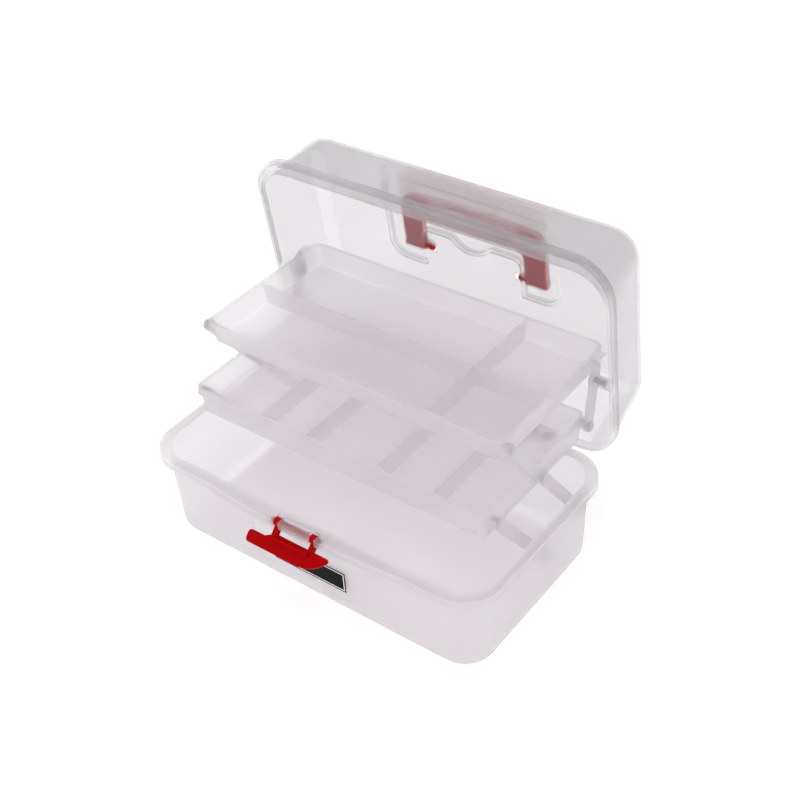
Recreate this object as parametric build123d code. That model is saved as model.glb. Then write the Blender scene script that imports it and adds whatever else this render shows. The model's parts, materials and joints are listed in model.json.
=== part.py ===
from build123d import *
import os
from math import atan2, cos, degrees, hypot, radians, sin

# Tackle box with two trays that rise on swinging arms when the lid opens.
# Millimetres. X runs along the length, -Y is the front, Z is up. The origin is the centre of the base's underside.
# The box is built as it stands open.

# Base tub
RIM_HALF_LENGTH = 165.0
RIM_HALF_DEPTH = 95.0
RIM_CORNER = 34.0
RIM_HEIGHT = 81.0
RIM_SET_OUT = 7.1
RIM_SKIRT = 6.7
WALL = 2.2
FLOOR = 2.6
BASE_SIDE_DRAFT = 3.6
BASE_FRONT_DRAFT = 0.9
BASE_FOOT_CORNER = 26.0
BASE_FOOT_RADIUS = 9.0
FRONT_BULGE = 5.5
FRONT_BULGE_HALF_WIDTH = 92.0
LABEL_HALF_WIDTH = 55.0
LABEL_LOW = 15.0
LABEL_HIGH = 62.0
LABEL_DEPTH = 0.7

# Lid
LID_OPENING = 83.0
LID_HEIGHT = 65.1
LID_SKIRT = 7.0
LID_FRONT_OVERHANG = 1.0
LID_FRONT_LEDGE = 9.0
LID_SIDE_LEDGE = 2.1
LID_REAR_LEDGE = 1.2
LID_SIDE_DRAFT = 7.5
LID_FRONT_DRAFT = 1.0
LID_REAR_DRAFT = 11.3
LID_WALL_CORNER = 30.0
LID_PANEL_CORNER = 24.0
LID_PANEL_RADIUS = 13.0
CATCH_CENTRE = 31.0
CATCH_WIDTH = 16.0
CATCH_HEIGHT = 4.5
CATCH_NOTCH = 7.0
CATCH_NOTCH_DEPTH = 2.5

# Lid hinge
HINGE_BEHIND_RIM = 1.7
KNUCKLE_CENTRE = 95.0
KNUCKLE_LENGTH = 14.0
EAR_LENGTH = 6.0
KNUCKLE_RADIUS = 4.2
HINGE_PIN_RADIUS = 2.0
PIN_HEAD_THICKNESS = 1.2

# Trays
TRAY_END_ROOM = 23.5
TRAY_HALF_LENGTH = RIM_HALF_LENGTH - TRAY_END_ROOM
TRAY_DEPTH = 141.3
TRAY_CORNER = 9.0
TRAY_WALL = 1.8
TRAY_DRAFT = 2.4
TRAY_LIP = 1.2
TRAY_LIP_THICKNESS = 2.0
TRAY_FOOT_RADIUS = 2.5
DIVIDER = 1.8
UPPER_TRAY_HEIGHT = 20.6
UPPER_DIVIDER_DROP = 1.2
UPPER_FRONT_FROM_REAR_RIM = 120.7
UPPER_TRAY_FRONT = RIM_HALF_DEPTH - UPPER_FRONT_FROM_REAR_RIM
LOWER_TRAY_HEIGHT = 25.4
LOWER_DIVIDER_DROP = 5.0
LOWER_FRONT_FROM_REAR_RIM = 144.8
LOWER_TRAY_FRONT = RIM_HALF_DEPTH - LOWER_FRONT_FROM_REAR_RIM
LOWER_DIVIDER_PLACES = (-77.0, -30.0, 38.0, 90.0)
LONG_DIVIDER_FROM_FRONT = 67.5
SHORT_DIVIDER_PLACE = 72.0

# Arms that carry the trays
ARM_OPEN_ANGLE = 53.1
ARM_CLOSED_ANGLE = 21.6
SHORT_ARM = 85.0
LONG_ARM = 153.8
ARM_WIDTH = 9.6
ARM_THICKNESS = 3.0
ARM_PIVOT_HEIGHT = 45.0
LONG_ARM_FROM_REAR_RIM = 21.7
LONG_ARM_PIVOT_Y = RIM_HALF_DEPTH - LONG_ARM_FROM_REAR_RIM
ARM_SPREAD = 59.3
SHORT_ARM_PIVOT_Y = LONG_ARM_PIVOT_Y - ARM_SPREAD
ARM_PIN_RADIUS = 2.4
ARM_PIN_HEAD_RADIUS = 4.2
ARM_PIN_GRIP = 4.5
ARM_BOSS_RADIUS = 6.0

# Link from the lower tray to the lid
LINK_PIVOT_FROM_REAR = 5.5
LINK_PIVOT_BELOW_RIM = 6.6
LINK_WIDTH = 10.4
LINK_EYE_WIDTH = 11.6
LINK_THICKNESS = 3.0
LINK_LEAN = 1.2
PEG_FROM_HINGE = 77.0
PEG_ABOVE_RIM = 6.0
PEG_RADIUS = 2.2
PEG_HEAD_RADIUS = 4.6
PEG_BOSS_RADIUS = 4.6
SLOT_START = 38.3
SLOT_END = 43.4
SLOT_SIDE_ROOM = 1.2
REST_EAR_LENGTH = 10.8
REST_EAR_SETBACK = 1.4

# Carrying handle, folded into the lid's panel
HANDLE_HALF_WIDTH = 68.5
HANDLE_PIVOT_FROM_HINGE = 96.0
HANDLE_REACH = 47.0
HANDLE_CROWN = 5.0
HANDLE_LEG_WIDTH = 18.5
HANDLE_GRIP_WIDTH = 18.0
HANDLE_THICKNESS = 9.0
HANDLE_CORNER = 10.0
HANDLE_INNER_CORNER = 9.0
HANDLE_EDGE_RADIUS = 2.0
TRUNNION_RADIUS = 3.0
TRUNNION_LENGTH = 7.5
HANDLE_EAR = 4.0
POCKET_DEPTH = 4.1
POCKET_MARGIN = 13.0
POCKET_CORNER = 14.0
POCKET_FOOT = 14.0
ISLAND_CORNER = 9.0
SCOOP_HALF_WIDTH = 18.0
SCOOP_DEPTH = 10.0
SCOOP_SHOULDER = 8.0
KNOB_WINDOW = 7.0

# Latch on the base's front
LATCH_OPENING = 137.0
LATCH_AXLE_RADIUS = 2.2
LATCH_RING_RADIUS = 3.6
LATCH_ARM_CENTRE = 17.7
LATCH_ARM_WIDTH = 5.0
LATCH_THICKNESS = 3.2
PADDLE_LEFT = -41.5
PADDLE_RIGHT = 34.5
PADDLE_FROM_AXLE = 9.4
PADDLE_TAB_FROM_AXLE = 14.4
PADDLE_TIP_FROM_AXLE = 24.6
PADDLE_STEP_START = -26.5
PADDLE_STEP_END = -17.0
PADDLE_BELLY_START = 8.0
PADDLE_BELLY_MIDDLE = (27.0, 19.3)
PADDLE_RIGHT_END_HEIGHT = 12.5
PADDLE_CORNER = 3.0
PADDLE_RIGHT_CORNER = 2.2
PADDLE_EDGE_RADIUS = 1.1
HOOK_LENGTH = 4.0
HOOK_THICKNESS = 2.4
LATCH_EAR = 3.0

# Clearances
RUNNING = 0.06
SEAT = 0.3
SIDE_GAP = 0.4
SWING_GAP = 0.5

# Places worked out from the sizes above
LID_RIM = RIM_HEIGHT + SEAT
HINGE_Y = RIM_HALF_DEPTH + HINGE_BEHIND_RIM
HINGE_Z = RIM_HEIGHT + SEAT / 2
BASE_TOP_X = RIM_HALF_LENGTH - RIM_SET_OUT
BASE_TOP_Y = RIM_HALF_DEPTH - RIM_SET_OUT
ARM_INNER = TRAY_HALF_LENGTH + 2 * SIDE_GAP
ARM_OUTER = ARM_INNER + ARM_THICKNESS
PEG_HEAD_INNER = TRAY_HALF_LENGTH + SWING_GAP
LINK_INNER = PEG_HEAD_INNER + PIN_HEAD_THICKNESS + SEAT
LINK_OUTER = LINK_INNER + LINK_THICKNESS
LID_FRONT_Y = -RIM_HALF_DEPTH - LID_FRONT_OVERHANG


def block(x0, x1, y0, y1, z0, z1):
    """A box between two corners."""
    return Pos((x0 + x1) / 2, (y0 + y1) / 2, (z0 + z1) / 2) * Box(abs(x1 - x0), abs(y1 - y0), abs(z1 - z0))


def rod(x0, x1, y, z, radius):
    """A round bar along X."""
    return Pos((x0 + x1) / 2, y, z) * Rot(0, 90, 0) * Cylinder(radius, abs(x1 - x0))


def plate(outline, x0, x1):
    """An outline in the side plane, as thick as the two X values."""
    return extrude(Plane.YZ.offset(x0) * outline, x1 - x0)


def strap(start, end, width):
    """The outline of a half-round ended bar between two hole centres in the side plane."""
    run = (end[0] - start[0], end[1] - start[1])
    middle = Pos((start[0] + end[0]) / 2, (start[1] + end[1]) / 2)
    return middle * Rot(0, 0, degrees(atan2(run[1], run[0]))) * SlotCenterToCenter(hypot(*run), width)


def mirrored(piece):
    return mirror(piece, about=Plane.YZ)


def tapered(low, high, z_low, z_high):
    """A solid between two round-cornered outlines, each given as half-length, front, rear and corner radius."""
    faces = []
    for (half, front, rear, corner), z in ((low, z_low), (high, z_high)):
        outline = Pos(0, (front + rear) / 2) * RectangleRounded(2 * half, rear - front, corner)
        faces.append(Plane.XY.offset(z) * outline)
    return loft(faces, ruled=True)


def shrunk(outline, step):
    half, front, rear, corner = outline
    return (half - step, front + step, rear - step, corner - step)


def flat_outline(outline):
    half, front, rear, corner = outline
    return Pos(0, (front + rear) / 2) * RectangleRounded(2 * half, rear - front, corner)


def bulge(step):
    """The shallow swelling of the base's front edge, which carries the latch."""
    y = -RIM_HALF_DEPTH + step
    ends = FRONT_BULGE_HALF_WIDTH
    arc = ThreePointArc((-ends, y), (0, y - FRONT_BULGE), (ends, y))
    return make_face([arc, Line((ends, y), (-ends, y))])


def rim_outline(step):
    rim = (RIM_HALF_LENGTH, -RIM_HALF_DEPTH, RIM_HALF_DEPTH, RIM_CORNER)
    return flat_outline(shrunk(rim, step)) + bulge(step)


def arm_end(pivot_y, length, angle):
    lean = radians(angle)
    return (pivot_y - length * cos(lean), ARM_PIVOT_HEIGHT + length * sin(lean))


LATCH_Y = -RIM_HALF_DEPTH - FRONT_BULGE + WALL + LATCH_AXLE_RADIUS + SEAT
LATCH_Z = RIM_HEIGHT - LATCH_RING_RADIUS - SEAT
LOWER_REAR_PIVOT = arm_end(LONG_ARM_PIVOT_Y, SHORT_ARM, ARM_OPEN_ANGLE)
LOWER_FRONT_PIVOT = arm_end(SHORT_ARM_PIVOT_Y, SHORT_ARM, ARM_OPEN_ANGLE)
UPPER_PIVOT = arm_end(LONG_ARM_PIVOT_Y, LONG_ARM, ARM_OPEN_ANGLE)
LOWER_CLOSED_PIVOT = arm_end(LONG_ARM_PIVOT_Y, SHORT_ARM, ARM_CLOSED_ANGLE)
UPPER_CLOSED_PIVOT = arm_end(LONG_ARM_PIVOT_Y, LONG_ARM, ARM_CLOSED_ANGLE)
LOWER_TRAY_RIM = LOWER_REAR_PIVOT[1] + LOWER_TRAY_HEIGHT / 2
LOWER_CLOSED_RIM = LOWER_TRAY_RIM - LOWER_REAR_PIVOT[1] + LOWER_CLOSED_PIVOT[1]
UPPER_DROP = UPPER_PIVOT[1] - UPPER_CLOSED_PIVOT[1]
UPPER_TRAY_RIM = LOWER_CLOSED_RIM + SEAT + UPPER_TRAY_HEIGHT + UPPER_DROP
LINK_PIVOT = (LOWER_TRAY_FRONT + TRAY_DEPTH - LINK_PIVOT_FROM_REAR, LOWER_TRAY_RIM - LINK_PIVOT_BELOW_RIM)


def opened(piece):
    """Swings a piece of the closed lid about the hinge to where it stands open."""
    return piece.rotate(Axis((0, HINGE_Y, HINGE_Z), (1, 0, 0)), -LID_OPENING)


def lid_point(from_hinge, above_rim):
    """Where a point of the lid's side plane stands when the lid is open."""
    turn = radians(LID_OPENING)
    up = above_rim + LID_RIM - HINGE_Z
    y = HINGE_Y - from_hinge * cos(turn) + up * sin(turn)
    return (y, HINGE_Z + from_hinge * sin(turn) + up * cos(turn))


def knuckle_span(start, end):
    """Both ends of a hinge part along X, right side."""
    return KNUCKLE_CENTRE + start, KNUCKLE_CENTRE + end


HALF_KNUCKLE = KNUCKLE_LENGTH / 2
HEAD_ROOM = 2 * SEAT + PIN_HEAD_THICKNESS
EAR_SPANS = (
    (HALF_KNUCKLE + SIDE_GAP, HALF_KNUCKLE + SIDE_GAP + EAR_LENGTH),
    (-HALF_KNUCKLE - SIDE_GAP - EAR_LENGTH, -HALF_KNUCKLE - SIDE_GAP),
)


def base_ears():
    """Two ears on each side of the base, that hold the hinge pins."""
    ears = []
    for start, end in EAR_SPANS:
        x0, x1 = knuckle_span(start, end)
        ear = rod(x0, x1, HINGE_Y, HINGE_Z, KNUCKLE_RADIUS)
        ear += block(x0, x1, BASE_TOP_Y - WALL / 2, HINGE_Y, HINGE_Z - KNUCKLE_RADIUS, RIM_HEIGHT - WALL / 2)
        ears += [ear, mirrored(ear)]
    return ears


def base_tub():
    foot = (
        BASE_TOP_X - BASE_SIDE_DRAFT,
        -BASE_TOP_Y + BASE_FRONT_DRAFT,
        BASE_TOP_Y - BASE_FRONT_DRAFT,
        BASE_FOOT_CORNER,
    )
    top = (BASE_TOP_X, -BASE_TOP_Y, BASE_TOP_Y, RIM_CORNER - RIM_SET_OUT)
    outside = tapered(foot, top, 0, RIM_HEIGHT)
    outside = fillet(outside.edges().group_by(Axis.Z)[0], BASE_FOOT_RADIUS)
    inside = tapered(shrunk(foot, WALL), shrunk(top, WALL), FLOOR, RIM_HEIGHT)
    inside = fillet(inside.edges().group_by(Axis.Z)[0], BASE_FOOT_RADIUS - WALL)
    rim = extrude(Plane.XY.offset(RIM_HEIGHT) * rim_outline(0), -RIM_SKIRT)
    hollow = extrude(Plane.XY.offset(RIM_HEIGHT - WALL) * rim_outline(WALL), -RIM_SKIRT)
    tub = (rim - hollow) + outside
    for ear in base_ears():
        tub += ear
    for side in (-1, 1):
        inner = LATCH_ARM_CENTRE + LATCH_ARM_WIDTH / 2 + SIDE_GAP
        x0 = side * inner
        x1 = side * (inner + LATCH_EAR)
        low = LATCH_Z - LATCH_RING_RADIUS
        tub += block(x0, x1, LATCH_Y - LATCH_RING_RADIUS, -BASE_TOP_Y + WALL, low, RIM_HEIGHT - WALL / 2)
    tub -= inside
    tub -= block(
        -LABEL_HALF_WIDTH,
        LABEL_HALF_WIDTH,
        -RIM_HALF_DEPTH,
        -BASE_TOP_Y + BASE_FRONT_DRAFT * (1 - LABEL_HIGH / RIM_HEIGHT) + LABEL_DEPTH,
        LABEL_LOW,
        LABEL_HIGH,
    )
    for side in (-1, 1):
        centre = side * LATCH_ARM_CENTRE
        half = LATCH_ARM_WIDTH / 2 + SIDE_GAP
        front = -RIM_HALF_DEPTH - 2 * FRONT_BULGE
        back = LATCH_Y + LATCH_RING_RADIUS + SWING_GAP
        tub -= block(centre - half, centre + half, front, back, RIM_HEIGHT - 2 * RIM_SKIRT, RIM_HEIGHT + WALL)
    reach = LATCH_ARM_CENTRE + LATCH_ARM_WIDTH + LATCH_EAR
    tub -= rod(-reach, reach, LATCH_Y, LATCH_Z, LATCH_AXLE_RADIUS + RUNNING)
    wall_at_pivot = BASE_TOP_X - BASE_SIDE_DRAFT * (1 - ARM_PIVOT_HEIGHT / RIM_HEIGHT) - WALL / 2
    for pivot_y in (LONG_ARM_PIVOT_Y, SHORT_ARM_PIVOT_Y):
        boss = rod(ARM_OUTER + SEAT, wall_at_pivot, pivot_y, ARM_PIVOT_HEIGHT, ARM_BOSS_RADIUS) & outside
        hole = rod(ARM_INNER, ARM_OUTER + SEAT + ARM_PIN_GRIP, pivot_y, ARM_PIVOT_HEIGHT, ARM_PIN_RADIUS + RUNNING)
        tub += boss
        tub += mirrored(boss)
        tub -= hole
        tub -= mirrored(hole)
    x0, x1 = knuckle_span(-HALF_KNUCKLE - SIDE_GAP, HALF_KNUCKLE + SIDE_GAP)
    notch = rod(x0, x1, HINGE_Y, HINGE_Z, KNUCKLE_RADIUS + SWING_GAP)
    bore_start, bore_end = knuckle_span(EAR_SPANS[1][0], EAR_SPANS[0][1])
    bore = rod(bore_start, bore_end, HINGE_Y, HINGE_Z, HINGE_PIN_RADIUS + RUNNING)
    head_end = bore_end + HEAD_ROOM
    head_notch = rod(bore_end, head_end, HINGE_Y, HINGE_Z, KNUCKLE_RADIUS)
    for cut in (notch, bore, head_notch):
        tub -= cut
        tub -= mirrored(cut)
    return tub


LID_WALL_LOW = (
    RIM_HALF_LENGTH - LID_SIDE_LEDGE,
    LID_FRONT_Y + LID_FRONT_LEDGE,
    RIM_HALF_DEPTH - LID_REAR_LEDGE,
    LID_WALL_CORNER,
)
LID_WALL_HIGH = (
    RIM_HALF_LENGTH - LID_SIDE_LEDGE - LID_SIDE_DRAFT,
    LID_FRONT_Y + LID_FRONT_LEDGE + LID_FRONT_DRAFT,
    RIM_HALF_DEPTH - LID_REAR_LEDGE - LID_REAR_DRAFT,
    LID_PANEL_CORNER,
)
PANEL = LID_RIM + LID_HEIGHT
PEG_Y = HINGE_Y - PEG_FROM_HINGE
PEG_Z = LID_RIM + PEG_ABOVE_RIM
HANDLE_Y = HINGE_Y - HANDLE_PIVOT_FROM_HINGE
HANDLE_Z = PANEL - POCKET_DEPTH + SEAT + HANDLE_THICKNESS / 2
LEG_INNER = HANDLE_HALF_WIDTH - HANDLE_LEG_WIDTH
ISLAND_HALF = LEG_INNER - SIDE_GAP
GRIP_INNER_Y = HANDLE_Y - HANDLE_REACH + HANDLE_GRIP_WIDTH


def pocket(step):
    """The lid panel's recess for the handle, seen from above: a broad U round a raised island."""
    front = HANDLE_Y - HANDLE_REACH - HANDLE_CROWN - POCKET_MARGIN + step
    rear = HANDLE_Y + POCKET_FOOT - step
    half = HANDLE_HALF_WIDTH + POCKET_MARGIN - step
    recess = flat_outline((half, front, rear, POCKET_CORNER - step))
    island_front = GRIP_INNER_Y + POCKET_MARGIN / 2
    island = flat_outline((ISLAND_HALF + step, island_front - step, rear + POCKET_FOOT, ISLAND_CORNER + step))
    scoop_radius = (SCOOP_HALF_WIDTH**2 + SCOOP_DEPTH**2) / (2 * SCOOP_DEPTH)
    island -= Pos(0, island_front + SCOOP_DEPTH - scoop_radius) * Circle(scoop_radius - step)
    shoulders = island.vertices().filter_by_position(Axis.X, -ISLAND_HALF / 2, ISLAND_HALF / 2)
    island = fillet(shoulders, SCOOP_SHOULDER + step)
    return recess - island


def lid_body():
    """The lid's shell as it lies closed, and the same shape filled in."""
    outside = tapered(LID_WALL_LOW, LID_WALL_HIGH, LID_RIM, PANEL)
    outside = fillet(outside.edges().group_by(Axis.Z)[-1], LID_PANEL_RADIUS)
    inside = tapered(shrunk(LID_WALL_LOW, WALL), shrunk(LID_WALL_HIGH, WALL), LID_RIM, PANEL - WALL)
    inside = fillet(inside.edges().group_by(Axis.Z)[-1], LID_PANEL_RADIUS - WALL)
    rim = (RIM_HALF_LENGTH, LID_FRONT_Y, RIM_HALF_DEPTH, RIM_CORNER)
    band = extrude(Plane.XY.offset(LID_RIM) * flat_outline(rim), LID_SKIRT)
    skirt = band - extrude(Plane.XY.offset(LID_RIM) * flat_outline(shrunk(rim, WALL)), LID_SKIRT - WALL)
    body = outside - inside + (skirt - inside)
    inner_side = PANEL - POCKET_DEPTH - WALL
    lining = extrude(Plane.XY.offset(inner_side) * pocket(-WALL), POCKET_DEPTH + WALL / 2)
    body += lining
    body -= extrude(Plane.XY.offset(PANEL - POCKET_DEPTH) * pocket(0), POCKET_DEPTH + WALL)
    return body, outside + band


def handle_ear():
    """The lug beside one leg of the handle, on the right side, that takes its trunnion."""
    x0 = ISLAND_HALF - HANDLE_EAR
    radius = TRUNNION_RADIUS + WALL
    lug = rod(x0, ISLAND_HALF, HANDLE_Y, HANDLE_Z, radius)
    return lug + block(x0, ISLAND_HALF, HANDLE_Y - radius, HANDLE_Y + radius, PANEL - WALL, HANDLE_Z)


def lid():
    body, filled = lid_body()
    ear = handle_ear()
    window_outer = ISLAND_HALF - HANDLE_EAR
    window = block(
        window_outer - KNOB_WINDOW,
        window_outer,
        HANDLE_Y - KNOB_WINDOW / 2,
        HANDLE_Y + KNOB_WINDOW / 2,
        PANEL - 2 * WALL,
        PANEL + WALL,
    )
    trunnion_bore = rod(window_outer - KNOB_WINDOW, LEG_INNER, HANDLE_Y, HANDLE_Z, TRUNNION_RADIUS + RUNNING)
    peg_boss = rod(LINK_OUTER + SEAT, RIM_HALF_LENGTH - WALL / 2, PEG_Y, PEG_Z, PEG_BOSS_RADIUS) & filled
    peg_bore = rod(LINK_OUTER, LINK_OUTER + SEAT + 2 * ARM_PIN_GRIP, PEG_Y, PEG_Z, PEG_RADIUS + RUNNING)
    x0, x1 = knuckle_span(-HALF_KNUCKLE, HALF_KNUCKLE)
    knuckle = rod(x0, x1, HINGE_Y, HINGE_Z, KNUCKLE_RADIUS)
    knuckle += block(x0, x1, RIM_HALF_DEPTH - WALL, HINGE_Y, LID_RIM, HINGE_Z + KNUCKLE_RADIUS)
    pin_bore = rod(x0, x1, HINGE_Y, HINGE_Z, HINGE_PIN_RADIUS + RUNNING)
    cuts = [window, trunnion_bore, peg_bore, pin_bore]
    for start, end in EAR_SPANS:
        x2, x3 = knuckle_span(start - SIDE_GAP, end + HEAD_ROOM)
        cuts.append(rod(x2, x3, HINGE_Y, HINGE_Z, KNUCKLE_RADIUS + SWING_GAP))
    adds = (ear, peg_boss)
    for add in adds:
        body += add
        body += mirrored(add)
    for cut in cuts:
        body -= cut
        body -= mirrored(cut)
    knuckle -= pin_bore
    body += knuckle
    body += mirrored(knuckle)
    half = CATCH_WIDTH / 2
    ledge = LID_RIM + LID_SKIRT
    body += block(
        CATCH_CENTRE - half,
        CATCH_CENTRE + half,
        LID_FRONT_Y + SEAT,
        LID_FRONT_Y + WALL,
        ledge - WALL / 2,
        ledge + CATCH_HEIGHT,
    )
    notch = CATCH_NOTCH / 2
    body -= block(
        CATCH_CENTRE - notch,
        CATCH_CENTRE + notch,
        LID_FRONT_Y - WALL,
        LID_FRONT_Y + 2 * WALL,
        LID_RIM,
        LID_RIM + CATCH_NOTCH_DEPTH,
    )
    return opened(body)


def tray(front, rim, height):
    """An open tray whose walls lean in to the foot, with a small lip round its rim."""
    rear = front + TRAY_DEPTH
    lip = (TRAY_HALF_LENGTH, front, rear, TRAY_CORNER)
    top = shrunk(lip, TRAY_LIP)
    foot = shrunk(top, TRAY_DRAFT)
    outside = tapered(foot, top, rim - height, rim)
    outside = fillet(outside.edges().group_by(Axis.Z)[0], TRAY_FOOT_RADIUS)
    inside = tapered(shrunk(foot, TRAY_WALL), shrunk(top, TRAY_WALL), rim - height + TRAY_WALL, rim)
    edge = extrude(Plane.XY.offset(rim) * flat_outline(lip), -TRAY_LIP_THICKNESS)
    return outside, inside, edge


def tray_boss(pivot, outer):
    """A round pad on a tray's right end wall, out to the plate that it carries."""
    inner = TRAY_HALF_LENGTH - TRAY_LIP - TRAY_DRAFT - TRAY_WALL
    return rod(inner, outer, pivot[0], pivot[1], ARM_PIN_HEAD_RADIUS)


def bored(shape, pivot, outer, radius):
    hole = rod(TRAY_HALF_LENGTH - 2 * ARM_PIN_GRIP, outer, pivot[0], pivot[1], radius + RUNNING)
    return shape - hole - mirrored(hole)


def lower_tray():
    outside, inside, edge = tray(LOWER_TRAY_FRONT, LOWER_TRAY_RIM, LOWER_TRAY_HEIGHT)
    floor_top = LOWER_TRAY_RIM - LOWER_TRAY_HEIGHT
    dividers = []
    for place in LOWER_DIVIDER_PLACES:
        dividers.append(
            block(
                place - DIVIDER / 2,
                place + DIVIDER / 2,
                LOWER_TRAY_FRONT,
                LOWER_TRAY_FRONT + TRAY_DEPTH,
                floor_top,
                LOWER_TRAY_RIM - LOWER_DIVIDER_DROP,
            )
        )
    body = outside + edge
    pivots = (
        (LOWER_REAR_PIVOT, ARM_INNER - SEAT),
        (LOWER_FRONT_PIVOT, ARM_INNER - SEAT),
        (LINK_PIVOT, LINK_INNER - SEAT),
    )
    for pivot, outer in pivots:
        boss = tray_boss(pivot, outer)
        body += boss
        body += mirrored(boss)
    body -= inside
    for divider in dividers:
        body += divider & inside
    for pivot, outer in pivots:
        body = bored(body, pivot, outer, ARM_PIN_RADIUS)
    return body


def upper_tray():
    outside, inside, edge = tray(UPPER_TRAY_FRONT, UPPER_TRAY_RIM, UPPER_TRAY_HEIGHT)
    foot = UPPER_TRAY_RIM - UPPER_TRAY_HEIGHT
    top = UPPER_TRAY_RIM - UPPER_DIVIDER_DROP
    middle = UPPER_TRAY_FRONT + LONG_DIVIDER_FROM_FRONT
    half = DIVIDER / 2
    body = outside + edge
    boss = tray_boss(UPPER_PIVOT, ARM_INNER - SEAT)
    ear_front = LINK_TIP[0] + REST_EAR_SETBACK
    ear = block(
        TRAY_HALF_LENGTH - TRAY_LIP,
        LINK_OUTER,
        ear_front,
        ear_front + REST_EAR_LENGTH,
        UPPER_TRAY_RIM - TRAY_LIP_THICKNESS,
        UPPER_TRAY_RIM,
    )
    for add in (boss, ear):
        body += add
        body += mirrored(add)
    body -= inside
    length = block(-TRAY_HALF_LENGTH, TRAY_HALF_LENGTH, middle - half, middle + half, foot, top)
    rear = UPPER_TRAY_FRONT + TRAY_DEPTH
    across = block(SHORT_DIVIDER_PLACE - half, SHORT_DIVIDER_PLACE + half, UPPER_TRAY_FRONT, rear, foot, top)
    body += (length + across) & inside
    return bored(body, UPPER_PIVOT, ARM_INNER - SEAT, ARM_PIN_RADIUS)


def arm(start, ends):
    """A flat arm from its base pivot through the holes in ends, on the right side."""
    body = plate(strap(start, ends[-1], ARM_WIDTH), ARM_INNER, ARM_OUTER)
    for hole in (start, *ends):
        body -= rod(ARM_INNER, ARM_OUTER, hole[0], hole[1], ARM_PIN_RADIUS + RUNNING)
    return body


PEG_POINT = lid_point(PEG_FROM_HINGE, PEG_ABOVE_RIM)
PEG_ANGLE = atan2(PEG_POINT[1] - LINK_PIVOT[1], PEG_POINT[0] - LINK_PIVOT[0]) + radians(LINK_LEAN)


def along_link(distance):
    return (LINK_PIVOT[0] + distance * cos(PEG_ANGLE), LINK_PIVOT[1] + distance * sin(PEG_ANGLE))


TIP_CENTRE = UPPER_TRAY_RIM - TRAY_LIP_THICKNESS - SEAT - LINK_WIDTH / 2
LINK_TIP = along_link((TIP_CENTRE - LINK_PIVOT[1]) / sin(PEG_ANGLE))


def lid_link():
    """The link that the lid's peg pushes: a bar with a short slot, on the right side."""
    body = plate(strap(LINK_PIVOT, LINK_TIP, LINK_WIDTH), LINK_INNER, LINK_OUTER)
    start = along_link(SLOT_START)
    end = along_link(SLOT_END)
    body += plate(strap(start, end, LINK_EYE_WIDTH), LINK_INNER, LINK_OUTER)
    slot = strap(start, end, 2 * (PEG_RADIUS + SLOT_SIDE_ROOM))
    body -= plate(slot, LINK_INNER, LINK_OUTER)
    return body - rod(LINK_INNER, LINK_OUTER, LINK_PIVOT[0], LINK_PIVOT[1], ARM_PIN_RADIUS + RUNNING)


def pin(place, shank_start, shank_end, shank_radius, head_radius):
    """A headed pin on the right side. The head stands just past the second end of the shank."""
    toward = 1 if shank_end > shank_start else -1
    shank = rod(shank_start, shank_end, place[0], place[1], shank_radius)
    head = rod(shank_end, shank_end + toward * PIN_HEAD_THICKNESS, place[0], place[1], head_radius)
    return shank + head


def handle():
    """A flat U with a crowned grip and a trunnion inside each leg, lying in the lid's pocket."""
    front = HANDLE_Y - HANDLE_REACH
    crown = ThreePointArc(
        (-HANDLE_HALF_WIDTH, front), (0, front - HANDLE_CROWN), (HANDLE_HALF_WIDTH, front)
    )
    sides = Polyline(
        (HANDLE_HALF_WIDTH, front),
        (HANDLE_HALF_WIDTH, HANDLE_Y),
        (LEG_INNER, HANDLE_Y),
        (LEG_INNER, GRIP_INNER_Y),
        (-LEG_INNER, GRIP_INNER_Y),
        (-LEG_INNER, HANDLE_Y),
        (-HANDLE_HALF_WIDTH, HANDLE_Y),
        (-HANDLE_HALF_WIDTH, front),
    )
    outline = make_face([crown, *sides.edges()])
    front_corners = outline.vertices().sort_by(Axis.Y)[:2]
    outline = fillet(front_corners, HANDLE_CORNER)
    inner_corners = [v for v in outline.vertices() if abs(v.Y - GRIP_INNER_Y) < RUNNING]
    outline = fillet(inner_corners, HANDLE_INNER_CORNER)
    low = HANDLE_Z - HANDLE_THICKNESS / 2
    body = extrude(Plane.XY.offset(low) * outline, HANDLE_THICKNESS)
    grip_edges = [e for e in body.edges() if e.center().Y < GRIP_INNER_Y + RUNNING]
    rounded = [e for e in grip_edges if abs(e.center().Z - HANDLE_Z) > HANDLE_EDGE_RADIUS]
    body = fillet(rounded, HANDLE_EDGE_RADIUS)
    leg_end = rod(LEG_INNER, HANDLE_HALF_WIDTH, HANDLE_Y, HANDLE_Z, HANDLE_THICKNESS / 2)
    trunnion = rod(LEG_INNER - TRUNNION_LENGTH, LEG_INNER + WALL, HANDLE_Y, HANDLE_Z, TRUNNION_RADIUS)
    for add in (leg_end, trunnion):
        body += add
        body += mirrored(add)
    return opened(body)


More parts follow.
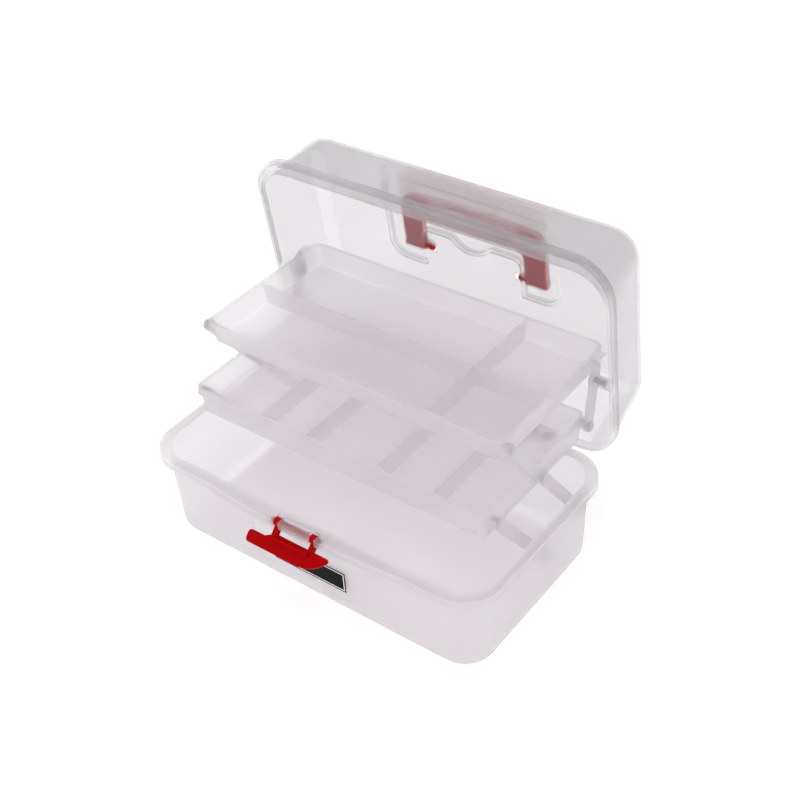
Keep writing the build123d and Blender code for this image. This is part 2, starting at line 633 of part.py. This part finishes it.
def paddle_outline():
    """The latch's paddle from the front: a broad belly with a round right end and a narrower tab on the left."""
    edge = Polyline(
        (PADDLE_BELLY_START, PADDLE_TIP_FROM_AXLE),
        (PADDLE_LEFT, PADDLE_TIP_FROM_AXLE),
        (PADDLE_LEFT, PADDLE_TAB_FROM_AXLE),
        (PADDLE_STEP_START, PADDLE_TAB_FROM_AXLE),
        (PADDLE_STEP_END, PADDLE_FROM_AXLE),
        (PADDLE_RIGHT, PADDLE_FROM_AXLE),
        (PADDLE_RIGHT, PADDLE_RIGHT_END_HEIGHT),
    )
    belly = ThreePointArc(
        (PADDLE_RIGHT, PADDLE_RIGHT_END_HEIGHT), PADDLE_BELLY_MIDDLE, (PADDLE_BELLY_START, PADDLE_TIP_FROM_AXLE)
    )
    outline = make_face([*edge.edges(), belly])
    outline = fillet(outline.vertices().group_by(Axis.X)[0], PADDLE_CORNER)
    return fillet(outline.vertices().group_by(Axis.X)[-1].sort_by(Axis.Y)[:1], PADDLE_RIGHT_CORNER)


def latch():
    """The front latch: a broad paddle on two arms, a hook that grips the lid's ledge, and its own axle."""
    inner = LID_FRONT_Y - SWING_GAP
    outer = inner - LATCH_THICKNESS
    ledge = LID_RIM + LID_SKIRT + SEAT
    reach = LATCH_ARM_CENTRE + LATCH_ARM_WIDTH / 2 + SIDE_GAP + LATCH_EAR
    body = extrude(Plane.XZ.offset(-inner) * (Pos(0, LATCH_Z) * paddle_outline()), inner - outer)
    body = fillet(body.edges().group_by(Axis.Y)[0] + body.edges().group_by(Axis.Y)[-1], PADDLE_EDGE_RADIUS)
    body += rod(-reach, reach, LATCH_Y, LATCH_Z, LATCH_AXLE_RADIUS)
    for side in (-1, 1):
        x0 = side * LATCH_ARM_CENTRE - LATCH_ARM_WIDTH / 2
        x1 = x0 + LATCH_ARM_WIDTH
        body += rod(x0, x1, LATCH_Y, LATCH_Z, LATCH_RING_RADIUS)
        body += block(x0, x1, outer, inner, LATCH_Z, ledge + HOOK_THICKNESS)
    hook = LATCH_ARM_CENTRE
    body += block(-hook, hook, outer, inner + HOOK_LENGTH, ledge, ledge + HOOK_THICKNESS)
    return body.rotate(Axis((0, LATCH_Y, LATCH_Z), (1, 0, 0)), LATCH_OPENING)


LONG_BASE = (LONG_ARM_PIVOT_Y, ARM_PIVOT_HEIGHT)
SHORT_BASE = (SHORT_ARM_PIVOT_Y, ARM_PIVOT_HEIGHT)


def side_pieces():
    """The pieces that both ends of the box have, on the right side."""
    base_inner = ARM_INNER - SEAT
    base_outer = ARM_OUTER + SEAT + ARM_PIN_GRIP
    tray_inner = TRAY_HALF_LENGTH - ARM_PIN_GRIP
    arm_head = ARM_OUTER + SEAT
    hinge_start, hinge_end = knuckle_span(EAR_SPANS[1][0], EAR_SPANS[0][1] + SEAT)
    pieces = {
        "long_arm": arm(LONG_BASE, (LOWER_REAR_PIVOT, UPPER_PIVOT)),
        "short_arm": arm(SHORT_BASE, (LOWER_FRONT_PIVOT,)),
        "lid_link": lid_link(),
        "hinge_pin": pin((HINGE_Y, HINGE_Z), hinge_start, hinge_end, HINGE_PIN_RADIUS, KNUCKLE_RADIUS - SWING_GAP),
        "lid_peg": pin(PEG_POINT, LINK_OUTER + 2 * ARM_PIN_GRIP, LINK_INNER - SEAT, PEG_RADIUS, PEG_HEAD_RADIUS),
        "link_pin": pin(LINK_PIVOT, tray_inner, LINK_OUTER + SEAT, ARM_PIN_RADIUS, ARM_PIN_HEAD_RADIUS),
    }
    for name, place in (("long_arm_base_pin", LONG_BASE), ("short_arm_base_pin", SHORT_BASE)):
        pieces[name] = pin(place, base_outer, base_inner, ARM_PIN_RADIUS, ARM_PIN_HEAD_RADIUS)
    tray_pins = (
        ("long_arm_tray_pin", LOWER_REAR_PIVOT),
        ("short_arm_tray_pin", LOWER_FRONT_PIVOT),
        ("upper_tray_pin", UPPER_PIVOT),
    )
    for name, place in tray_pins:
        pieces[name] = pin(place, tray_inner, arm_head, ARM_PIN_RADIUS, ARM_PIN_HEAD_RADIUS)
    return pieces


def main():
    os.makedirs("parts", exist_ok=True)
    pieces = {
        "base_tub": base_tub(),
        "lid": lid(),
        "lower_tray": lower_tray(),
        "upper_tray": upper_tray(),
        "handle": handle(),
        "latch": latch(),
    }
    for name, piece in side_pieces().items():
        pieces[name + "_right"] = piece
        pieces[name + "_left"] = mirrored(piece)
    for name, piece in pieces.items():
        export_step(piece, f"parts/{name}.step")
    print("lower tray rear pivot", LOWER_REAR_PIVOT, "front", LOWER_FRONT_PIVOT, "upper pivot", UPPER_PIVOT)
    print("lower rim", LOWER_TRAY_RIM, "upper rim", UPPER_TRAY_RIM, "closed lower rim", LOWER_CLOSED_RIM)
    print("link pivot", LINK_PIVOT, "tip", LINK_TIP, "peg", PEG_POINT)
    print("hinge", HINGE_Y, HINGE_Z, "latch axle", LATCH_Y, LATCH_Z)
    print("handle pivot", lid_point(HANDLE_PIVOT_FROM_HINGE, HANDLE_Z - LID_RIM))


main()
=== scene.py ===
# %% [markdown]
# A frosted tackle box, shown open. The real one is moulded plastic with few added parts, so nearly all of its shape
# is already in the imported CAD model. That model is loaded as it is and only needs the finishes of the real plastics.
# It could be modelled again in Blender, but then the picture and the moving model would no longer agree. The one new
# piece is the label on the front.

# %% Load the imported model
import json
import math

import bpy
import bmesh
from mathutils import Matrix, Vector


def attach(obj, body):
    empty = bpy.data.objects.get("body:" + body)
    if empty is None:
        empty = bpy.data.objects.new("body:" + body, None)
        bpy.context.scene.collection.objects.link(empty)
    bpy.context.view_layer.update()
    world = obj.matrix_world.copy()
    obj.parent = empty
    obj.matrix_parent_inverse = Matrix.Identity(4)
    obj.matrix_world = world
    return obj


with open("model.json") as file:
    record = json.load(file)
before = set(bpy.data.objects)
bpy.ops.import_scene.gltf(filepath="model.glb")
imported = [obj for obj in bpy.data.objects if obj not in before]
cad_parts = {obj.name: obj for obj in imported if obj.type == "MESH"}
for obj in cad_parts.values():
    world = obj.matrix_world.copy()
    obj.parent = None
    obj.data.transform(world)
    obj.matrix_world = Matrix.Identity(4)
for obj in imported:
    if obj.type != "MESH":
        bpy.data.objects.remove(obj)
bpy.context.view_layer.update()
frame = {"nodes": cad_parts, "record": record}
nodes = frame["nodes"]

MM = 0.001

# %% [markdown]
# Colours are written as sRGB hex values, as a maker would read them from a sample. Blender's shaders work with
# linear light, so one function turns every hex value into linear numbers. Typing linear numbers would also do, but
# nobody can picture a colour from them.

# %% Turn a hex colour into linear light


def linear(hex_code):
    """A colour such as C4060A as linear red, green, blue and alpha."""
    parts = [int(hex_code[i:i + 2], 16) / 255 for i in (0, 2, 4)]
    light = [c / 12.92 if c <= 0.04045 else ((c + 0.055) / 1.055) ** 2.4 for c in parts]
    return (*light, 1.0)


print("mid grey is", [round(c, 3) for c in linear("808080")])

# %% [markdown]
# A material is a small network of nodes. One helper adds a node, sets its sockets and properties, and links its
# inputs, so that each material below reads as a list of what feeds what. A socket's name is written with _ for its
# spaces. A new material starts with an empty network.

# %% Add one node with its settings and links


def add(tree, kind, links=None, **settings):
    """Adds a node. Settings are properties or sockets, and links give the output that feeds each named socket."""
    made = tree.nodes.new(kind)
    for key, value in settings.items():
        if hasattr(made, key):
            setattr(made, key, value)
        else:
            made.inputs[key.replace("_", " ")].default_value = value
    for socket, source in (links or {}).items():
        tree.links.new(source, made.inputs[socket])
    return made


def new_material(name):
    """A material with an empty network."""
    material = bpy.data.materials.new(name)
    material.use_nodes = True
    tree = material.node_tree
    tree.nodes.clear()
    return material, tree


print("helpers ready")

# %% [markdown]
# The shells and trays are natural polypropylene, injection moulded in a lightly textured steel mould. It takes almost
# no light away but scatters it forward. What touches the wall, such as the handle behind the lid, still shows
# through as a dusty rose, while things further off melt into an even pale haze. Glass with a low roughness would look
# wet, and a plain white plastic would hide the handle, so a rough transmitting surface is used. A part of the light
# also goes straight through (an alpha under 1), which keeps the inside of the box bright. Wall thickness drifts over
# each moulding, which gives faint clouds some 60 mm wide, and the mould's fine grain, about 0.4 mm on the real wall,
# is drawn 1.2 mm wide so that it still shows in the picture. A Mix node blends two close tints along the clouds. In
# its colour form its sockets 6 and 7 are the two colours, and its output 2 is the mixed one.

# %% Frosted polypropylene
CLOUD_MM = 60.0
WALL_GRAIN_MM = 1.2
POLYPROPYLENE_IOR = 1.45
FIRST_COLOUR, SECOND_COLOUR, MIXED_COLOUR = 6, 7, 2


def frosted_polypropylene(name, clear, milky, haze, transmission, rough, cloud_mm=CLOUD_MM):
    """Haze is the share of the light that meets the wall's surface instead of going straight through."""
    material, tree = new_material(name)
    place = add(tree, "ShaderNodeTexCoord")
    spot = {"Vector": place.outputs["Object"]}
    cloud = add(tree, "ShaderNodeTexNoise", spot, Scale=1 / (cloud_mm * MM), Detail=2.0)
    tint = add(tree, "ShaderNodeMix", {"Factor": cloud.outputs["Fac"]}, data_type="RGBA")
    tint.inputs[FIRST_COLOUR].default_value = linear(clear)
    tint.inputs[SECOND_COLOUR].default_value = linear(milky)
    grain = add(tree, "ShaderNodeTexNoise", spot, Scale=1 / (WALL_GRAIN_MM * MM), Detail=3.0)
    height = grain.outputs["Fac"]
    gloss = add(tree, "ShaderNodeMapRange", {"Value": height}, To_Min=rough - 0.04, To_Max=rough + 0.06)
    bump = add(tree, "ShaderNodeBump", {"Height": height}, Strength=0.08, Distance=0.15 * MM)
    skin = add(
        tree,
        "ShaderNodeBsdfPrincipled",
        {
            "Base Color": tint.outputs[MIXED_COLOUR],
            "Roughness": gloss.outputs["Result"],
            "Normal": bump.outputs["Normal"],
        },
        IOR=POLYPROPYLENE_IOR,
        Transmission_Weight=transmission,
        Alpha=haze,
    )
    add(tree, "ShaderNodeOutputMaterial", {"Surface": skin.outputs["BSDF"]})
    return material


BASE = frosted_polypropylene("frosted_polypropylene_base", "F3EEF2", "EDE7EC", 0.50, 0.80, 0.42)
# The lid is the same frosted shell as the base, but its tints are darker: painted shade, for the dimmer look of the
# lid.
SHADED_LID = frosted_polypropylene("frosted_polypropylene_lid_painted_shade", "CDC7CD", "C5BFC5", 0.42, 0.95, 0.24)
TRAY = frosted_polypropylene("frosted_polypropylene_tray", "FFFBFE", "FBF5FA", 0.50, 0.72, 0.40)
ARM = frosted_polypropylene("frosted_polypropylene_arm", "EAE6EA", "E2DDE2", 0.58, 0.50, 0.40, cloud_mm=25.0)
print("made", BASE.name, SHADED_LID.name, TRAY.name, ARM.name)

# %% [markdown]
# The latch and the handle are moulded red polypropylene, solid in colour and semi-glossy. A flat red would do from
# far off. On the real ones the pigment isn't quite even, and handling leaves the surface a little duller in patches,
# so one noise some 18 mm wide drives both the tint and the gloss. The mould's grain is drawn 0.9 mm wide. The handle
# is made a touch brighter than the latch, though it is the same plastic: painted light, which makes up for the light
# that the lid in front of it takes away.

# %% Moulded red plastic
PATCH_MM = 18.0
RED_GRAIN_MM = 0.9


def moulded_red(name, bright, deep, rough):
    """Solid red plastic with patches that drift in tint and gloss."""
    material, tree = new_material(name)
    place = add(tree, "ShaderNodeTexCoord")
    spot = {"Vector": place.outputs["Object"]}
    patch = add(tree, "ShaderNodeTexNoise", spot, Scale=1 / (PATCH_MM * MM), Detail=3.0)
    tint = add(tree, "ShaderNodeMix", {"Factor": patch.outputs["Fac"]}, data_type="RGBA")
    tint.inputs[FIRST_COLOUR].default_value = linear(bright)
    tint.inputs[SECOND_COLOUR].default_value = linear(deep)
    worn = {"Value": patch.outputs["Fac"]}
    gloss = add(tree, "ShaderNodeMapRange", worn, To_Min=rough - 0.06, To_Max=rough + 0.08)
    grain = add(tree, "ShaderNodeTexNoise", spot, Scale=1 / (RED_GRAIN_MM * MM), Detail=2.0)
    bump = add(tree, "ShaderNodeBump", {"Height": grain.outputs["Fac"]}, Strength=0.12, Distance=0.1 * MM)
    skin = add(
        tree,
        "ShaderNodeBsdfPrincipled",
        {
            "Base Color": tint.outputs[MIXED_COLOUR],
            "Roughness": gloss.outputs["Result"],
            "Normal": bump.outputs["Normal"],
        },
        IOR=1.49,
        Specular_IOR_Level=0.04,
    )
    add(tree, "ShaderNodeOutputMaterial", {"Surface": skin.outputs["BSDF"]})
    return material


RED = moulded_red("moulded_red_polypropylene", "BC0004", "A80003", 0.38)
# A brighter copy of the latch red: painted light for the handle seen behind the lid.
BRIGHTENED_HANDLE_RED = moulded_red("moulded_red_polypropylene_handle_painted_light", "D00005", "BE0004", 0.42)
print("made", RED.name, BRIGHTENED_HANDLE_RED.name)

# %% [markdown]
# The two hinge pins are drawn steel wire with headed ends. Drawing leaves fine lines along the wire. They could be
# cut as grooves, but at this size a bump is enough: the noise is stretched along X, the pins' own direction.

# %% Drawn steel wire
LINE_MM = 0.5
LINE_STRETCH = (0.05, 1.0, 1.0)
WIRE, tree = new_material("drawn_steel_wire")
place = add(tree, "ShaderNodeTexCoord")
stretch = add(tree, "ShaderNodeMapping", {"Vector": place.outputs["Object"]}, Scale=LINE_STRETCH)
lines = add(tree, "ShaderNodeTexNoise", {"Vector": stretch.outputs["Vector"]}, Scale=1 / (LINE_MM * MM), Detail=2.0)
gloss = add(tree, "ShaderNodeMapRange", {"Value": lines.outputs["Fac"]}, To_Min=0.22, To_Max=0.42)
bump = add(tree, "ShaderNodeBump", {"Height": lines.outputs["Fac"]}, Strength=0.1, Distance=0.05 * MM)
wire = add(
    tree,
    "ShaderNodeBsdfPrincipled",
    {"Roughness": gloss.outputs["Result"], "Normal": bump.outputs["Normal"]},
    Base_Color=linear("C4C5C9"),
    Metallic=1.0,
)
add(tree, "ShaderNodeOutputMaterial", {"Surface": wire.outputs["BSDF"]})
print("made", WIRE.name)

# %% [markdown]
# Each CAD node keeps its mesh, and only the material in its slot is changed. The record says which finish a node
# has. The lid and the handle share theirs with other nodes there, but get copies of their own here: the lid a darker
# copy of the shell, which is painted shade, and the handle a brighter copy of the red, which is painted light.

# %% Give every CAD node its finish
FINISHES = {
    "frosted_shell": BASE,
    "tray_plastic": TRAY,
    "arm_plastic": ARM,
    "red_plastic": RED,
    "pin_steel": WIRE,
}
SHADED_AND_LIT_COPIES = {"lid": SHADED_LID, "handle": BRIGHTENED_HANDLE_RED}
for entry in frame["record"]["subparts"]:
    mesh = nodes[entry["node"]].data
    mesh.materials.clear()
    mesh.materials.append(SHADED_AND_LIT_COPIES.get(entry["node"], FINISHES[entry["material_slot"]]))

# %% [markdown]
# A label is coated paper, flat and nearly matt. Its fibres are about 0.3 mm wide on the real sheet and are drawn
# 0.8 mm wide. The ink lies on the same paper, so one function makes both, and only the colour and the shine differ.

# %% Label paper and ink
FIBRE_MM = 0.8


def printed_paper(name, code, shine):
    """Coated paper of one colour, with a faint fibre in its gloss and bump."""
    material, tree = new_material(name)
    place = add(tree, "ShaderNodeTexCoord")
    spot = {"Vector": place.outputs["Object"]}
    fibre = add(tree, "ShaderNodeTexNoise", spot, Scale=1 / (FIBRE_MM * MM), Detail=4.0)
    gloss = add(tree, "ShaderNodeMapRange", {"Value": fibre.outputs["Fac"]}, To_Min=0.42, To_Max=0.6)
    bump = add(tree, "ShaderNodeBump", {"Height": fibre.outputs["Fac"]}, Strength=0.1, Distance=0.05 * MM)
    paper = add(
        tree,
        "ShaderNodeBsdfPrincipled",
        {"Roughness": gloss.outputs["Result"], "Normal": bump.outputs["Normal"]},
        IOR=1.45,
        Base_Color=linear(code),
        Specular_IOR_Level=shine,
    )
    add(tree, "ShaderNodeOutputMaterial", {"Surface": paper.outputs["BSDF"]})
    return material


PAPER = printed_paper("coated_label_paper", "F2F2F2", 0.5)
INK = printed_paper("black_label_ink", "0C0C0C", 0.08)
print("made", PAPER.name, INK.name)

# %% [markdown]
# The front of the base has a shallow panel for a label. The label here is a generic one, black with a thin white
# line near its edge, laid flat in the panel and sunk into it by a hair, so that no light passes behind it. A picture
# could give the line, but real faces stay sharp at any size: the label starts as a thin block, and two insets of its
# front face give the black border and the white line.

# %% Start the label as a thin block, in millimetres
LABEL_HALF_LENGTH = 36.0
LABEL_LOW = 23.0
LABEL_HIGH = 43.0
LABEL_THICKNESS = 0.25
LABEL_SINK = 0.04
PANEL_Y = -86.989


def start_block(name, low, high):
    """Adds a cube between two corners given in millimetres, with its place in its mesh."""
    bpy.ops.object.select_all(action="DESELECT")
    middle = [(a + b) / 2 * MM for a, b in zip(low, high)]
    bpy.ops.mesh.primitive_cube_add(size=1.0, location=middle)
    block = bpy.context.object
    block.name = name
    block.scale = [(b - a) * MM for a, b in zip(low, high)]
    bpy.ops.object.transform_apply(location=True, rotation=True, scale=True)
    return block


label = start_block(
    "blank_label",
    (-LABEL_HALF_LENGTH, PANEL_Y - LABEL_THICKNESS + LABEL_SINK, LABEL_LOW),
    (LABEL_HALF_LENGTH, PANEL_Y + LABEL_SINK, LABEL_HIGH),
)
label.data.materials.append(INK)
label.data.materials.append(PAPER)
print("label size in mm", [round(side / MM, 2) for side in label.dimensions])

# %% Inset the label's front face
LABEL_BORDER = 1.1
LABEL_LINE = 0.9
INK_SLOT, PAPER_SLOT = 0, 1
FACES_FRONT = -0.9

bpy.ops.object.mode_set(mode="EDIT")
bpy.ops.mesh.select_all(action="DESELECT")
bpy.ops.mesh.select_mode(type="FACE")
shape = bmesh.from_edit_mesh(label.data)
shape.faces.ensure_lookup_table()
for face in shape.faces:
    face.select = face.normal.y < FACES_FRONT
bmesh.update_edit_mesh(label.data)
for width, slot in ((LABEL_BORDER, PAPER_SLOT), (LABEL_LINE, INK_SLOT)):
    bpy.ops.mesh.inset(thickness=width * MM)
    label.active_material_index = slot
    bpy.ops.object.material_slot_assign()
bpy.ops.object.mode_set(mode="OBJECT")
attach(label, "base")
print("label faces", len(label.data.polygons))

# %% [markdown]
# The box stands on a plain pale floor, which is only a stage and isn't part of the object. It glows a little, like a
# light table, so it washes out to white and sends light up through the clear walls. Brighter lamps would also whiten
# it, but they bleach the box first. The glow fades out some metres away, where the floor meets the surrounding. The
# floor lies half a millimetre under the box, because two clear surfaces in the very same plane render as dark
# blotches.

# %% Floor
FLOOR_WIDTH = 14.0
FLOOR_GAP = 0.5
GLOW = 0.36
GLOW_FULL = 1.7
GLOW_GONE = 5.0

bpy.ops.object.select_all(action="DESELECT")
bpy.ops.mesh.primitive_grid_add(
    x_subdivisions=4,
    y_subdivisions=4,
    size=FLOOR_WIDTH,
    location=(0.0, 0.0, -FLOOR_GAP * MM),
)
bpy.ops.object.transform_apply(location=True, rotation=True, scale=True)
floor = bpy.context.object
floor.name = "studio_floor"
material, tree = new_material("pale_studio_floor")
place = add(tree, "ShaderNodeTexCoord")
reach = add(tree, "ShaderNodeVectorMath", {"Vector": place.outputs["Object"]}, operation="LENGTH")
glow = add(
    tree,
    "ShaderNodeMapRange",
    {"Value": reach.outputs["Value"]},
    From_Min=GLOW_FULL,
    From_Max=GLOW_GONE,
    To_Min=GLOW,
    To_Max=0.0,
)
sheet = add(
    tree,
    "ShaderNodeBsdfPrincipled",
    {"Emission Strength": glow.outputs["Result"]},
    Base_Color=linear("FAFAFA"),
    Roughness=0.8,
    Emission_Color=linear("FFFFFF"),
)
add(tree, "ShaderNodeOutputMaterial", {"Surface": sheet.outputs["BSDF"]})
floor.data.materials.append(material)
print("floor", round(floor.dimensions.x, 1), "m wide")

# %% [markdown]
# A white surrounding gives most of the soft even light. A single lamp would be simpler, but it leaves the far walls
# of the box dark. Here the large lamp above reaches down into the base, and two smaller ones give the plastic its
# gentle form. Light crosses many thin walls, so it is allowed more bounces than Blender's usual 12, and the plain
# Standard view keeps white white.

# %% Light
SURROUND = 0.62
BOUNCES = 24
BOX_MIDDLE = Vector((0.0, 0.05, 0.12))
# Each lamp's name, place and width in metres, and power in watts.
LAMPS = (
    ("lamp_above", (0.1, -0.3, 1.9), 1.8, 8.0),
    ("lamp_right", (1.7, -0.9, 1.1), 1.3, 3.0),
    ("lamp_left", (-1.6, -1.0, 1.0), 1.3, 4.0),
)

scene = bpy.context.scene
world = bpy.data.worlds.new("studio_surround")
world.use_nodes = True
surround = world.node_tree.nodes["Background"]
surround.inputs["Color"].default_value = linear("FFFFFF")
surround.inputs["Strength"].default_value = SURROUND
scene.world = world
scene.cycles.max_bounces = BOUNCES
scene.cycles.transmission_bounces = BOUNCES
scene.cycles.transparent_max_bounces = BOUNCES
scene.view_settings.view_transform = "Standard"
for name, place, width, power in LAMPS:
    lamp_data = bpy.data.lights.new(name, "AREA")
    lamp_data.size = width
    lamp_data.energy = power
    lamp = bpy.data.objects.new(name, lamp_data)
    scene.collection.objects.link(lamp)
    aim = BOX_MIDDLE - Vector(place)
    lamp.matrix_world = Matrix.Translation(place) @ aim.to_track_quat("-Z", "Y").to_matrix().to_4x4()
print("lamps", len(LAMPS))

# %% [markdown]
# The camera was fitted to the photograph's outline and straight edges: a 61 mm lens on a 36 mm sensor, 39 degrees
# round to the right and 38 degrees up, with a slight roll. A camera can be aimed by a constraint, but that leaves no
# room for the roll, so its three axes are worked out from the angles.

# %% Camera
CAMERA_AZIMUTH = math.radians(39.11)
CAMERA_HEIGHT = math.radians(37.78)
CAMERA_ROLL = math.radians(-4.02)
CAMERA_TARGET = Vector((-4.33, 46.85, 110.0)) * MM
CAMERA_DISTANCE = 1094.97 * MM

back = Vector((
    math.sin(CAMERA_AZIMUTH) * math.cos(CAMERA_HEIGHT),
    -math.cos(CAMERA_AZIMUTH) * math.cos(CAMERA_HEIGHT),
    math.sin(CAMERA_HEIGHT),
))
level = (-back).cross(Vector((0, 0, 1))).normalized()
upright = level.cross(-back)
turn, tilt = math.cos(CAMERA_ROLL), math.sin(CAMERA_ROLL)
right = turn * level + tilt * upright
up = turn * upright - tilt * level

lens = bpy.data.cameras.new("photo_camera")
lens.sensor_width = 36.0
lens.lens = 61.07
lens.shift_x = -0.0023
lens.shift_y = -0.0042
camera = bpy.data.objects.new("photo_camera", lens)
scene.collection.objects.link(camera)
eye = CAMERA_TARGET + back * CAMERA_DISTANCE
facing = Matrix((right, up, back)).transposed().to_4x4()
camera.matrix_world = Matrix.Translation(eye) @ facing
scene.camera = camera
print("camera at", [round(c, 3) for c in eye])
